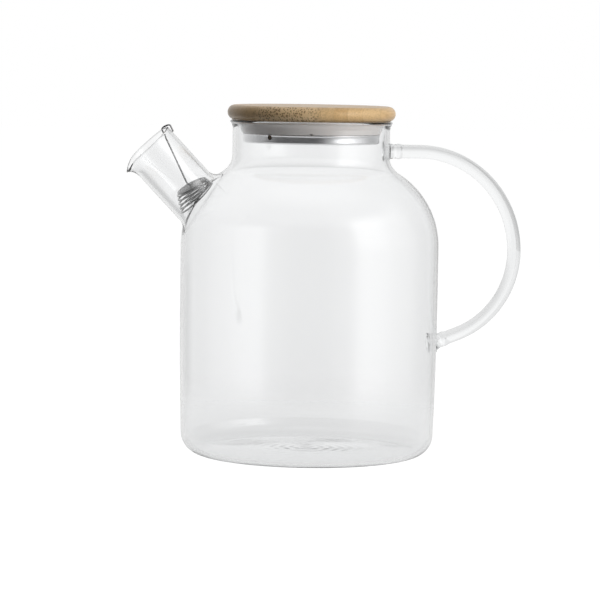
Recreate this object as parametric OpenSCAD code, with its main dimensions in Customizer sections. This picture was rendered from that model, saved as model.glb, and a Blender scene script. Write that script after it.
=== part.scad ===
// Glass teapot: blown vessel, fused spout and handle, bamboo lid with seal and steel cup, wire spout filter.
// Millimetres, +Z up. The origin is on the vessel's axis at the table.
// The spout points to -X, the handle to +X.

/* [Vessel] */
// Largest radius of the body, just under the shoulder
body_r = 68.3; // [64:0.1:76]
// How much narrower the body is at its foot than under the shoulder, on the radius
foot_taper = 1.2; // [0:0.1:3]
// Thickness of the blown glass
glass_wall = 2; // [1.6:0.1:2.4]
// Radius of the rounded corner at the foot
foot_corner_r = 11; // [6:0.5:14]
// Height at which the side turns into the shoulder
shoulder_z = 111; // [106:0.5:116]
// Radius of the shoulder's curve
shoulder_r = 45; // [42:0.5:48]
// Outer radius of the neck
neck_r = 41.55; // [39.5:0.05:43]
// Radius of the hollow curve between shoulder and neck
neck_fillet_r = 10.5; // [8:0.5:13]
// Height of the glass rim
rim_z = 177; // [174:0.5:184]
// How far the rim flares out past the neck
rim_flare = 1.4; // [0.6:0.1:2]
// Height over which the rim flares
rim_flare_h = 5; // [4:0.5:7]
// Radius of the fire-polished edges of the rim
rim_edge_r = 0.7; // [0.4:0.1:0.8]

/* [Spout] */
// Outer diameter of the spout tube
spout_d = 28.5; // [25:0.25:30]
// Thickness of the spout's glass
spout_wall = 1.6; // [1.3:0.1:2]
// Angle of the spout above horizontal
spout_rise = 46.8; // [44:0.2:50]
// Height at which the line of the spout crosses the vessel's axis
spout_cross_z = 70.6; // [68:0.1:73]
// Length of the spout along its middle, from the vessel's outside to the rim plane
spout_l = 38.2; // [36:0.2:46]
// How far the pouring lip is pulled out past the spout's wall
lip_drop = 4; // [2:0.25:5]
// Angle at which the pouring lip bends away from the spout
lip_bend = 28; // [22:1:34]
// How far the tip of the lip stands back from the rim plane
lip_back = 3.3; // [2:0.1:5]
// Outer radius of the pouring lip's channel
lip_r = 9; // [8:0.25:10.5]

/* [Handle] */
// Diameter of the handle's glass rod
handle_d = 7.2; // [6:0.1:9]
// Distance from the body's side to the outermost point of the handle
handle_out = 47.1; // [44:0.1:54]
// Height of the outermost point of the handle
handle_mid_z = 107.6; // [105:0.2:109]
// Radius of the handle's upper bend, at the middle of the rod
handle_upper_r = 53.4; // [51:0.1:56]
// Radius of the handle's lower bend, at the middle of the rod
handle_lower_r = 46.9; // [44:0.1:49]
// Angle that the handle's lower end falls towards the body
handle_fall = 20; // [14:1:26]
// Diameter of the fused foot at each end of the handle
handle_foot_d = 11; // [10:0.25:13]
// Length over which each foot swells from the rod
handle_foot_l = 5; // [3:0.5:7]

/* [Lid] */
// How far the bamboo disc stands out past the rim
disc_overhang = 1.4; // [0.5:0.1:4]
// Thickness of the bamboo disc
disc_h = 8; // [7:0.25:10]
// Radius of the disc's rounded edge
disc_edge_r = 3.8; // [2:0.1:3.9]
// Height of the silicone seal
seal_h = 6.9; // [5.5:0.1:8]
// Clearance between the seal and the neck
seal_clearance = 0.3; // [0.3:0.05:0.6]
// Thickness of the seal at its upper edge, from the plug to its outside
seal_w = 3.95; // [3.4:0.05:5]
// How much thinner the seal is at its lower edge
seal_taper = 2.75; // [1.5:0.05:2.9]
// Thickness of the cup's steel
cup_sheet = 0.6; // [0.5:0.05:0.8]
// Clearance between the cup and the plug
cup_clearance = 0.05; // [0:0.01:0.1]
// Height of the steel cup's side
cup_h = 5; // [4.6:0.1:6]
// Depth of the recess under the cup's floor
cup_recess = 1.8; // [1.7:0.05:2]
// Width of the ring that stands round the recess
cup_ring_w = 5; // [4:0.25:7]
// Diameter of the vent in the cup's side
vent_d = 2.6; // [2:0.1:2.8]
// Direction of the vent round the lid
vent_angle = 223; // [0:1:359]
// Number of screws in the cup's floor
screw_count = 3; // [3:1:6]
// Radius of the circle that the screws stand on
screw_circle_r = 20; // [14:0.5:24]
// Diameter of a screw's shank
screw_d = 2.8; // [2.4:0.1:3.2]
// Length of a screw's shank
screw_l = 8; // [6:0.5:10]
// Diameter of a screw's head
screw_head_d = 5.4; // [5:0.1:6]
// Height of a screw's head
screw_head_h = 1.4; // [1.2:0.1:1.6]
// How much wider than the shank a screw's hole in the cup is
screw_play = 0.4; // [0.2:0.05:0.8]
// Depth left free past a screw's end in the plug
screw_room = 0.5; // [0.2:0.1:1]

/* [Filter] */
// Diameter of the filter's wire
wire_d = 0.9; // [0.7:0.05:1]
// Diameter of the flat spiral at the top of the filter, at the middle of the wire
spiral_d = 17; // [15:0.25:18]
// Turns in the flat spiral
spiral_turns = 7; // [5:1:7]
// Turns in the conical coil under the flat spiral
cone_turns = 5; // [3:1:5]
// Length of the conical coil
cone_l = 7.7; // [6.5:0.1:9]
// Clearance between the widest turn and the spout's bore
filter_clearance = 0.6; // [0.4:0.05:1]
// Distance from the spout's rim plane down to the filter's widest turn
filter_depth = 39.4; // [38:0.2:42]
// How far the flat spiral leans from square across the spout
spiral_lean = 12; // [0:1:14]
// How far the flat spiral's centre lies above the spout's axis
spiral_offset = 2.4; // [1:0.1:2.8]
// Distance of the stem from the spout's axis where it reaches the hook
stem_offset = 9.8; // [8.5:0.1:10.5]
// Length of the hook's leg down the outside of the spout
hook_l = 4; // [3:0.5:8]
// Clearance between the wire and the spout's wall and rim
hook_clearance = 0.35; // [0.3:0.05:0.6]

/* [Hidden] */
$fn = 96;
little = 0.01; // overlap that keeps a cut clean

neck_bore_r = neck_r - glass_wall;
spout_r = spout_d / 2;
spout_bore_r = spout_r - spout_wall;

// Vessel outline. Corner and shoulder turn about one centre each, so that the wall keeps its thickness.
foot_r = body_r - foot_taper;
foot_centre = [foot_r - foot_corner_r, foot_corner_r];
shoulder_centre = [body_r - shoulder_r, shoulder_z];
fillet_x = neck_r + neck_fillet_r;
fillet_z = shoulder_z + sqrt(pow(shoulder_r + neck_fillet_r, 2) - pow(fillet_x - shoulder_centre.x, 2));
shoulder_end = atan2(fillet_z - shoulder_z, fillet_x - shoulder_centre.x);

// The line of the spout leaves the vessel's axis and comes out through the shoulder at spout_root
spout_way = [cos(spout_rise), sin(spout_rise)];
spout_to_shoulder = shoulder_centre - [0, spout_cross_z];
spout_abeam = spout_to_shoulder * spout_way;
spout_root = spout_abeam
    + sqrt(pow(spout_abeam, 2) + pow(shoulder_r, 2) - spout_to_shoulder * spout_to_shoulder);
spout_reach = spout_root + spout_l;

// Points of an arc in the outline, from angle a to angle b
function arc(centre, r, a, b, steps) =
    [for (i = [0:steps]) let (t = a + (b - a) * i / steps) centre + r * [cos(t), sin(t)]];

// One face of the vessel's wall, from the floor up to the rim, the given depth inside the outer face
function wall_face(depth) = concat(
    arc(foot_centre, foot_corner_r - depth, -90, 0, 12),
    [for (i = [1:5]) let (t = i / 6)
        [body_r - foot_taper * pow(1 - t, 3) - depth, foot_corner_r + t * (shoulder_z - foot_corner_r)]],
    arc(shoulder_centre, shoulder_r - depth, 0, shoulder_end, 14),
    arc([fillet_x, fillet_z], neck_fillet_r + depth, 180 + shoulder_end - 4, 180, 8),
    [for (i = [0:4]) let (t = i / 5)
        [neck_r + rim_flare * t * t - depth, rim_z - rim_flare_h + t * (rim_flare_h - rim_edge_r)]]);

rim_r = neck_r + rim_flare;
function rim_edges() = concat(
    arc([rim_r - rim_edge_r, rim_z - rim_edge_r], rim_edge_r, 0, 90, 5),
    arc([rim_r - glass_wall + rim_edge_r, rim_z - rim_edge_r], rim_edge_r, 90, 180, 5));

function reversed(points) = [for (i = [len(points) - 1:-1:0]) points[i]];

module vessel_solid() {
    rotate_extrude()
        polygon(concat([[0, 0]], wall_face(0), [[rim_r, rim_z - rim_edge_r], [rim_r, rim_z], [0, rim_z]]));
}

module vessel_shell() {
    rotate_extrude()
        polygon(concat(
            [[0, 0]], wall_face(0), rim_edges(), reversed(wall_face(glass_wall)), [[0, glass_wall]]));
}

// Moves a shape drawn along +Z from the origin on to the line of the spout. Its +X side faces up.
module on_spout() {
    translate([0, 0, spout_cross_z]) rotate([0, spout_rise - 90, 0]) children();
}

// Frame of the pouring lip: the origin is the lowest point of its mouth, +Z leaves the mouth
module on_lip() {
    translate([-spout_r - lip_drop, 0, spout_reach - lip_back]) rotate([0, -lip_bend, 0]) children();
}

// Long enough to end inside the bore
lip_len = spout_r + 2 * lip_drop;

module lip_channel(r, over) {
    on_lip() translate([lip_r, 0, -lip_len]) cylinder(r = r, h = lip_len + over);
}

module vessel() {
    color([0.86, 0.92, 0.93, 0.35])
        difference() {
            vessel_shell();
            on_spout() cylinder(r = spout_bore_r, h = spout_reach);
        }
}

module spout() {
    room = 3 * spout_d;
    color([0.86, 0.92, 0.93, 0.35])
        difference() {
            on_spout() difference() {
                union() {
                    cylinder(r = spout_r, h = spout_reach);
                    lip_channel(lip_r, 0);
                }
                translate([0, 0, -little]) cylinder(r = spout_bore_r, h = spout_reach + 1);
                lip_channel(lip_r - spout_wall, 1);
                translate([-room / 2, -room / 2, spout_reach]) cube(room);
                on_lip() translate([-room / 2, -room / 2, 0]) cube(room);
            }
            vessel_solid();
        }
}

function unit(v) = v / norm(v);

// A closed tube through a list of points, with its own radius at each
module tube(points, radii, sides) {
    last = len(points) - 1;
    ways = [for (i = [0:last]) unit(points[min(i + 1, last)] - points[max(i - 1, 0)])];
    // Each ring's side vector is the one before it, turned square to the new direction
    out = [for (i = 0, u = cross(ways[0], [0, 1, 1]); i <= last;
        i = i + 1, u = i <= last ? u - (u * ways[i]) * ways[i] : u) unit(u)];
    rings = [for (i = [0:last]) let (u = out[i], v = cross(ways[i], u)) for (k = [0:sides - 1])
        points[i] + radii[i] * (cos(360 * k / sides) * u + sin(360 * k / sides) * v)];
    skin = [for (i = [0:last - 1]) for (k = [0:sides - 1]) let (a = i * sides, b = (k + 1) % sides)
        each [[a + k, a + b, a + sides + b], [a + k, a + sides + b, a + sides + k]]];
    ends = [[for (k = [sides - 1:-1:0]) k], [for (k = [0:sides - 1]) last * sides + k]];
    polyhedron(points = rings, faces = [for (f = concat(skin, ends)) reversed(f)], convexity = 10);
}

// Handle: two bends that meet at its outermost point, and a straight run from each into the glass
handle_r = handle_d / 2;
handle_reach = body_r + handle_out;
upper_centre = [handle_reach - handle_r - handle_upper_r, handle_mid_z];
lower_centre = [handle_reach - handle_r - handle_lower_r, handle_mid_z];
lower_end = lower_centre + handle_lower_r * [sin(handle_fall), -cos(handle_fall)];
upper_foot = [neck_r, handle_mid_z + handle_upper_r];
lower_foot = lower_end - (lower_end.x - body_r) * [1, tan(handle_fall)];

// Distances from the glass at which a foot has a ring. The rod runs on into the glass, where it is cut off.
foot_steps = [for (i = [-1:5]) handle_foot_l * i / 5];
upper_steps = 20;
lower_steps = 15;
function foot_radius(d) =
    handle_r + (handle_foot_d / 2 - handle_r) * pow(1 - min(max(d, 0) / handle_foot_l, 1), 2);

handle_line = concat(
    [for (d = foot_steps) upper_foot + [d, 0]],
    arc(upper_centre, handle_upper_r, 90, 0, upper_steps),
    arc(lower_centre, handle_lower_r, -5, handle_fall - 90, lower_steps),
    [for (d = reversed(foot_steps)) lower_foot + d * [cos(handle_fall), sin(handle_fall)]]);
handle_radii = concat(
    [for (d = foot_steps) foot_radius(d)], [for (i = [0:upper_steps + lower_steps + 1]) handle_r],
    [for (d = reversed(foot_steps)) foot_radius(d)]);

module handle() {
    color([0.86, 0.92, 0.93, 0.35])
        difference() {
            tube([for (p = handle_line) [p.x, 0, p.y]], handle_radii, 16);
            vessel_solid();
        }
}

// Lid. The disc rests on the rim; seal and cup hang from it round the plug.
seal_bottom = rim_z - seal_h;
cup_bottom = seal_bottom - cup_h;
cup_floor = cup_bottom + cup_recess;
plug_bottom = cup_floor + cup_sheet;
seal_r = neck_bore_r - seal_clearance;
plug_r = seal_r - seal_w;
cup_bore_r = plug_r + cup_clearance;
cup_r = cup_bore_r + cup_sheet;

module at_screws() {
    for (i = [0:screw_count - 1])
        rotate([0, 0, 360 * i / screw_count]) translate([screw_circle_r, 0, cup_floor]) children();
}

// A round hole that runs out through the cup's side, from the given radius
module vent(from) {
    rotate([0, 0, vent_angle]) translate([from, 0, cup_bottom + cup_recess + (cup_h - cup_recess) / 2])
        rotate([0, 90, 0]) cylinder(d = vent_d, h = cup_r - from + 1);
}

module lid_disc() {
    edge = rim_r + disc_overhang - disc_edge_r;
    color([0.80, 0.66, 0.47])
        difference() {
            rotate_extrude()
                polygon(concat(
                    [[0, plug_bottom], [plug_r, plug_bottom], [plug_r, rim_z]],
                    arc([edge, rim_z + disc_edge_r], disc_edge_r, -90, 0, 10),
                    arc([edge, rim_z + disc_h - disc_edge_r], disc_edge_r, 0, 90, 10),
                    [[0, rim_z + disc_h]]));
            at_screws() cylinder(d = screw_d, h = screw_l + screw_room);
        }
}

module lid_seal() {
    color([0.78, 0.74, 0.73, 0.6])
        rotate_extrude()
            polygon([
                [plug_r, seal_bottom], [seal_r - seal_taper, seal_bottom], [seal_r, rim_z], [plug_r, rim_z]]);
}

module lid_cup() {
    ring = cup_r - cup_ring_w;
    bend_r = 2 * cup_sheet;
    color([0.75, 0.76, 0.78])
        difference() {
            rotate_extrude()
                polygon(concat(
                    [[0, cup_floor], [ring - cup_sheet, cup_floor], [ring - cup_sheet, cup_bottom]],
                    arc([cup_r - bend_r, cup_bottom + bend_r], bend_r, -90, 0, 6),
                    [[cup_r, seal_bottom], [cup_bore_r, seal_bottom]],
                    arc([cup_r - bend_r, cup_bottom + bend_r], bend_r - cup_sheet, 0, -90, 6),
                    [[ring, cup_bottom + cup_sheet], [ring, plug_bottom], [0, plug_bottom]]));
            at_screws() translate([0, 0, -1]) cylinder(d = screw_d + screw_play, h = cup_sheet + 2);
            vent(cup_bore_r - 1);
        }
}

module cup_screws() {
    slot = 0.25 * screw_head_d;
    color([0.62, 0.63, 0.65])
        at_screws() {
            cylinder(d = screw_d, h = screw_l);
            difference() {
                translate([0, 0, -screw_head_h]) cylinder(d = screw_head_d, h = screw_head_h);
                for (turn = [0, 90]) rotate([0, 0, turn])
                    translate([-screw_head_d / 3, -slot / 4, -screw_head_h - 1])
                        cube([2 * screw_head_d / 3, slot / 2, 1 + screw_head_h / 2]);
            }
        }
}

// Filter wire, in the spout's frame: a conical coil, a flat spiral on top of it, a stem and a hook
turn_steps = 18;
filter_seat = spout_reach - filter_depth;
wide_r = spout_bore_r - filter_clearance - wire_d / 2;
spiral_r = spiral_d / 2;
spiral_hole_r = 1.1 * wire_d;
hook_out = spout_r + hook_clearance + wire_d / 2;
hook_r = (hook_out - stem_offset) / 2;
hook_mid = (hook_out + stem_offset) / 2;
// The hook's arch clears the outer edge of the rim by the hook's clearance
hook_edge = spout_r - hook_mid;
hook_z = spout_reach + hook_clearance + wire_d / 2 - sqrt(hook_r * hook_r - hook_edge * hook_edge);
stem_foot = [spiral_offset - 1.5 * wire_d, 0, filter_seat + cone_l + 4 * wire_d];

// A point of a turn that has its centre on the spout's middle plane and leans towards the spout's upper side
function turn_point(r, a, offset, z, lean) =
    [offset + r * cos(a) * cos(lean), r * sin(a), z - r * cos(a) * sin(lean)];

cone_points = [for (i = [0:cone_turns * turn_steps - 1]) let (t = i / (cone_turns * turn_steps))
    turn_point(wide_r + t * (spiral_r - wide_r), 360 * i / turn_steps, t * spiral_offset,
        filter_seat + t * cone_l, t * spiral_lean)];
spiral_points = [for (i = [0:spiral_turns * turn_steps]) let (t = i / (spiral_turns * turn_steps))
    turn_point(spiral_r + t * (spiral_hole_r - spiral_r), 360 * i / turn_steps, spiral_offset,
        filter_seat + cone_l, spiral_lean)];
hook_steps = 8;
hook_points = [for (i = [0:hook_steps]) let (a = 180 - 180 * i / hook_steps)
    [hook_mid + hook_r * cos(a), 0, hook_z + hook_r * sin(a)]];
wire_points = concat(cone_points, spiral_points, [stem_foot], hook_points,
    [[hook_out, 0, hook_z - hook_l]]);

module spout_filter() {
    color([0.70, 0.71, 0.72]) on_spout() tube(wire_points, [for (p = wire_points) wire_d / 2], 6);
}

vessel();
spout();
handle();
lid_disc();
lid_seal();
lid_cup();
cup_screws();
spout_filter();
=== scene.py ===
"""Glass teapot: a blown pot with a fused spout and rod handle, a bamboo lid and a wire spout filter."""

import math

import bmesh
import bpy
from bpy.props import FloatProperty, FloatVectorProperty, IntProperty, PointerProperty
from mathutils import Matrix, Vector


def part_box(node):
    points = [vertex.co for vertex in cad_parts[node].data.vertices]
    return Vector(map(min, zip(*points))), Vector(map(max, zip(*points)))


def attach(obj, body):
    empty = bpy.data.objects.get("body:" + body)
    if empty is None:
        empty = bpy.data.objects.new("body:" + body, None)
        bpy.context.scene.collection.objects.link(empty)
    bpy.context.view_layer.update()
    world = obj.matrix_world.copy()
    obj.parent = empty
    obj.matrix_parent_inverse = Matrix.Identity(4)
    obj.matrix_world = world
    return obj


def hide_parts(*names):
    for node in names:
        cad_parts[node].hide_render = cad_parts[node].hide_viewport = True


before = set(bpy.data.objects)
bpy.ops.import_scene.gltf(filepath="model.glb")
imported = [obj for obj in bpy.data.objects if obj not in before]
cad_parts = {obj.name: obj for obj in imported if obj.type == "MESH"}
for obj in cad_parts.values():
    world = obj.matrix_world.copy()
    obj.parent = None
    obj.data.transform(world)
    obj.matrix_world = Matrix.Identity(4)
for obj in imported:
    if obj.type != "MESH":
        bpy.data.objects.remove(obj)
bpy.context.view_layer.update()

bl_info = {
    "name": "Glass Teapot",
    "version": (1, 0, 0),
    "blender": (4, 5, 0),
    "location": "View3D > Sidebar > Teapot",
    "description": "Builds a glass teapot with a bamboo lid and a wire spout filter",
    "category": "Add Mesh",
}

MM = 0.001
TAU = 2 * math.pi
# Corners of the frame's boxes, from which some sizes are taken
VESSEL_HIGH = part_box("vessel")[1]
DISC_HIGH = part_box("lid_disc")[1]
CUP_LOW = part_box("lid_cup")[0]
HANDLE_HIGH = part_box("handle")[1]


# ---------------------------------------------------------------- settings


def length(name, description, millimetres):
    """A size setting, given in millimetres and kept in metres."""
    return FloatProperty(
        name=name, description=description, default=millimetres * MM, min=0.0, precision=5, unit="LENGTH"
    )


def number(name, description, value, least=1):
    """A setting that counts whole things."""
    return IntProperty(name=name, description=description, default=value, min=least)


def angle(name, description, degrees):
    """An angle setting, given in degrees and kept in radians."""
    return FloatProperty(name=name, description=description, default=math.radians(degrees), unit="ROTATION")


def share(name, description, value, top=1.0):
    """A plain number setting."""
    return FloatProperty(name=name, description=description, default=value, min=0.0, max=top)


def colour(name, description, value):
    """A colour setting, in linear red, green and blue."""
    return FloatVectorProperty(
        name=name, description=description, default=value, size=3, subtype="COLOR", min=0.0, max=1.0
    )


class VesselSettings(bpy.types.PropertyGroup):
    """Sizes of the blown vessel."""

    body_r: length("Body radius", "Largest radius of the body", VESSEL_HIGH.x / MM)
    foot_taper: length("Foot taper", "How much narrower the foot is, on the radius", 1.2)
    wall: length("Glass wall", "Thickness of the blown glass", 2.0)
    foot_corner_r: length("Foot corner", "Radius of the rounded corner at the foot", 11.0)
    punt_r: length("Punt radius", "Radius of the pushed-up part of the base", 49.0)
    punt_h: length("Punt height", "How far the base is pushed up in the middle", 1.3)
    ripple_h: length("Ripple height", "Height of the rings left in the floor", 0.04)
    ripple_l: length("Ripple length", "Distance from one ring in the floor to the next", 5.2)
    ripple_r: length("Ripple reach", "Radius at which the rings fade out", 36.0)
    shoulder_z: length("Shoulder height", "Height at which the side turns in", 111.0)
    shoulder_r: length("Shoulder radius", "Radius of the shoulder's curve", 45.0)
    neck_r: length("Neck radius", "Outer radius of the neck", 41.55)
    neck_fillet_r: length("Neck curve", "Radius of the hollow curve under the neck", 10.5)
    rim_z: length("Rim height", "Height of the glass rim", VESSEL_HIGH.z / MM)
    rim_flare: length("Rim flare", "How far the rim flares out", 1.4)
    rim_flare_h: length("Flare height", "Height over which the rim flares", 5.0)
    columns: number("Columns", "Faces round the vessel", 224, 32)


class SpoutSettings(bpy.types.PropertyGroup):
    """Sizes of the spout and its pouring lip."""

    outer_r: length("Spout radius", "Outer radius of the spout tube", 14.25)
    wall: length("Spout wall", "Thickness of the spout's glass", 1.6)
    rise: angle("Rise", "Angle of the spout above horizontal", 46.8)
    cross_z: length("Crossing height", "Height where the spout's line crosses the vessel's axis", 70.6)
    reach: length("Reach", "Distance along the spout from the vessel's axis to the rim plane", 127.3)
    weld_r: length("Weld fillet", "Radius of the fused glass round the spout's root", 2.6)
    weld_growth: share("Weld growth", "How much larger the fillet grows on the neck's side", 1.1, 3.0)
    bead_r: length("Rim bead", "Radius of the fire-polished bead round the mouth", 0.82)
    lip_drop: length("Lip drop", "How far the lip is pulled out past the wall", 3.9)
    lip_back: length("Lip set-back", "How far the lip's tip stands back from the rim plane", 3.2)
    lip_l: length("Lip length", "Length of spout that the lip takes up", 10.5)
    lip_width: angle("Lip width", "Angle round the spout over which the lip fades", 28.0)
    columns: number("Columns", "Faces round the spout", 120, 32)


class HandleSettings(bpy.types.PropertyGroup):
    """Sizes of the handle rod."""

    rod_d: length("Rod diameter", "Diameter of the glass rod", 7.2)
    reach: length("Reach", "Distance from the axis to the handle's outermost point", HANDLE_HIGH.x / MM)
    mid_z: length("Middle height", "Height of the outermost point", 107.6)
    upper_r: length("Upper bend", "Radius of the upper bend, at the rod's middle", 53.4)
    lower_r: length("Lower bend", "Radius of the lower bend, at the rod's middle", 46.9)
    fall: angle("Fall", "Slope of the lower end towards the body", 20.0)
    foot_d: length("Foot diameter", "Diameter of the fused foot at each end", 11.0)
    foot_l: length("Foot length", "Length over which a foot swells", 5.0)
    knot: length("Knot", "How far the gathered glass beyond the foot stands out", 0.45)
    columns: number("Columns", "Faces round the rod", 48, 12)


class LidSettings(bpy.types.PropertyGroup):
    """Sizes of the lid's disc, seal, cup and screws."""

    disc_r: length("Disc radius", "Radius of the bamboo disc", DISC_HIGH.x / MM)
    disc_edge_r: length("Disc edge", "Radius of the disc's rounded edge", 3.8)
    disc_crown: length("Crown", "How far the top falls from the middle to the edge", 0.25)
    plug_r: length("Plug radius", "Radius of the plug under the disc", 35.3)
    seal_h: length("Seal height", "Height of the seal", 6.9)
    seal_w: length("Seal width", "Thickness of the seal at its upper edge", 3.95)
    seal_taper: length("Seal taper", "How much thinner the seal is at its lower edge", 2.75)
    notch_r: length("Notch radius", "Radius of the moulded notch in the seal's lower edge", 0.9)
    cup_sheet: length("Cup sheet", "Thickness of the cup's steel", 0.6)
    cup_clearance: length("Cup clearance", "Clearance between cup and plug", 0.05)
    cup_bead: length("Cup bead", "Radius of the rolled bead round the cup's upper edge", 0.4)
    cup_recess: length("Cup recess", "Depth of the recess under the cup", 1.8)
    cup_ring_w: length("Cup ring", "Width of the ring round the recess", 5.0)
    vent_d: length("Vent diameter", "Diameter of the vent in the cup's side", 2.6)
    vent_depth: length("Vent depth", "Depth of the vent in the plug", 8.0)
    vent_turn: angle("Vent direction", "Direction of the vent round the lid", 223.0)
    screw_count: number("Screws", "Number of screws in the cup", 3)
    screw_circle_r: length("Screw circle", "Radius of the circle of screws", 20.0)
    screw_head_d: length("Head diameter", "Diameter of a screw's head", 5.4)
    screw_head_h: length("Head height", "Height of a screw's head", 1.4)
    screw_d: length("Shank diameter", "Diameter of a screw's shank", 2.8)
    screw_l: length("Shank length", "Length of a screw's shank", 8.0)


class FilterSettings(bpy.types.PropertyGroup):
    """Sizes of the wire filter."""

    wire_d: length("Wire diameter", "Diameter of the wire", 0.9)
    spiral_d: length("Spiral diameter", "Diameter of the flat spiral", 17.0)
    spiral_turns: number("Spiral turns", "Turns in the flat spiral", 7)
    cone_turns: number("Cone turns", "Turns in the conical coil", 5)
    cone_l: length("Cone length", "Length of the conical coil", 7.7)
    clearance: length("Clearance", "Gap between the widest turn and the bore", 0.6)
    depth: length("Depth", "Distance from the rim plane to the widest turn", 39.4)
    lean: angle("Lean", "How far the flat spiral leans from square across the spout", 12.0)
    nod: angle("Nod", "How far the flat spiral nods to the side of the lens", 5.0)
    offset: length("Offset", "How far the spiral's centre lies above the spout's axis", 2.4)
    stem_foot: length("Stem foot", "How far the stem's foot lies above the spout's axis", 1.4)
    hook_w: length("Hook width", "Distance from the stem to the hook's leg, at the middle of the wire", 4.9)
    hook_l: length("Hook leg", "Length of the hook's leg outside the spout", 3.0)


class FinishSettings(bpy.types.PropertyGroup):
    """Colours and finishes."""

    glass: colour("Glass", "Colour of the clear glass", (0.991, 0.993, 0.995))
    bamboo: colour("Bamboo", "Colour of the bamboo between its fibres", (0.70, 0.47, 0.225))
    fibre: colour("Fibre", "Colour of the bamboo's dark fibres", (0.17, 0.09, 0.035))
    silicone: colour("Silicone", "Colour of the seal", (0.80, 0.745, 0.715))
    steel: colour("Steel", "Colour of the cup's steel", (0.86, 0.86, 0.87))
    wire: colour("Wire", "Colour of the filter wire", (0.38, 0.38, 0.38))
    strip_w: length("Strip width", "Width of one glued strip of bamboo", 6.0)


class StageSettings(bpy.types.PropertyGroup):
    """Camera, floor and light."""

    camera_distance: length("Camera distance", "Distance of the camera from the pot's axis", 1562.0)
    camera_height: length("Camera height", "Height of the camera above the table", 216.3)
    camera_turn: angle("Camera turn", "Turn of the camera round the pot, to the spout's side", 11.0)
    camera_pitch: angle("Camera pitch", "How far the camera looks down", 4.924)
    camera_roll: angle("Camera roll", "Roll of the camera", 0.894)
    camera_aside: angle("Camera aside", "How far the camera looks past the pot's axis", 0.169)
    focal: length("Focal length", "Focal length of the lens", 177.25)
    floor_size: length("Floor size", "Width of the floor", 12000.0)


SETTINGS = {
    "teapot_vessel": VesselSettings,
    "teapot_spout": SpoutSettings,
    "teapot_handle": HandleSettings,
    "teapot_lid": LidSettings,
    "teapot_filter": FilterSettings,
    "teapot_finish": FinishSettings,
    "teapot_stage": StageSettings,
}


# ---------------------------------------------------------------- mesh tools


def arc(cx, cz, r, start, end, steps):
    """Points of an arc in a lathe outline, from one angle in degrees to another."""
    turn = [math.radians(start + (end - start) * i / steps) for i in range(steps + 1)]
    return [(cx + r * math.cos(t), cz + r * math.sin(t)) for t in turn]


def turns(columns, shift=0.0):
    """The angles of this many columns round a circle."""
    return [TAU * (k + shift) / columns for k in range(columns)]


def link(mesh, name):
    """A new object that shows the mesh."""
    piece = bpy.data.objects.new(name, mesh)
    bpy.context.scene.collection.objects.link(piece)
    return piece


def loft(name, rings, closed=False):
    """A solid through rings of points. Its ends are closed by fans, or joined to each other where closed."""
    columns = len(rings[0])
    points = [p for ring in rings for p in ring]
    faces = []
    last = len(rings) if closed else len(rings) - 1
    for i in range(last):
        a, b = i * columns, (i + 1) % len(rings) * columns
        for k in range(columns):
            j = (k + 1) % columns
            faces.append((a + k, a + j, b + j, b + k))
    if not closed:
        for start, ring, turn in ((0, rings[0], -1), (len(points) - columns, rings[-1], 1)):
            points.append(sum(ring, Vector()) / columns)
            hub = len(points) - 1
            for k in range(columns):
                faces.append((hub, start + k, start + (k + 1) % columns)[::turn])
    mesh = bpy.data.meshes.new(name)
    mesh.from_pydata(points, [], faces)
    tidy(mesh)
    return link(mesh, name)


def tidy(mesh):
    """Merges doubled points, turns all faces outwards and shades them smooth."""
    bm = bmesh.new()
    bm.from_mesh(mesh)
    bmesh.ops.remove_doubles(bm, verts=bm.verts, dist=1e-7)
    bmesh.ops.dissolve_degenerate(bm, edges=bm.edges, dist=1e-7)
    bmesh.ops.recalc_face_normals(bm, faces=bm.faces)
    bm.to_mesh(mesh)
    bm.free()
    mesh.polygons.foreach_set("use_smooth", [True] * len(mesh.polygons))


def lathe(name, outline, columns):
    """A solid turned from an outline of (radius, height), which starts and ends on the axis or closes."""
    on_axis = outline[0][0] == 0
    turned = outline[1:-1] if on_axis else outline
    rings = [[Vector((r * math.cos(t), r * math.sin(t), z)) for t in turns(columns)] for r, z in turned]
    return loft(name, rings, closed=not on_axis)


def carve(piece, tool, operation):
    """Joins the tool to the piece, or cuts it away, and deletes the tool."""
    step = piece.modifiers.new("carve", "BOOLEAN")
    step.object, step.operation, step.solver = tool, operation, "EXACT"
    settle(piece)
    bpy.data.objects.remove(tool)


def settle(piece):
    """Turns the piece's modifiers into its plain mesh."""
    depsgraph = bpy.context.evaluated_depsgraph_get()
    mesh = bpy.data.meshes.new_from_object(piece.evaluated_get(depsgraph))
    piece.modifiers.clear()
    piece.data = mesh


def crease(piece, degrees):
    """Smooth shading with a sharp edge wherever faces meet at more than this angle."""
    piece.data.polygons.foreach_set("use_smooth", [True] * len(piece.data.polygons))
    piece.data.set_sharp_from_angle(angle=math.radians(degrees))


def finish(piece, body, slot, material, *nodes):
    """Gives a piece its material and its body, and hides the nodes that it stands for."""
    piece.data.materials.clear()
    piece.data.materials.append(material)
    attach(piece, body)
    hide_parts(*nodes)


# ---------------------------------------------------------------- shader tools


def grey(level):
    """A grey with full alpha."""
    return (level, level, level, 1.0)


def rgba(shade, level=1.0):
    """A colour with full alpha, made darker or lighter by a factor."""
    return (*(c * level for c in shade), 1.0)


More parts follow.
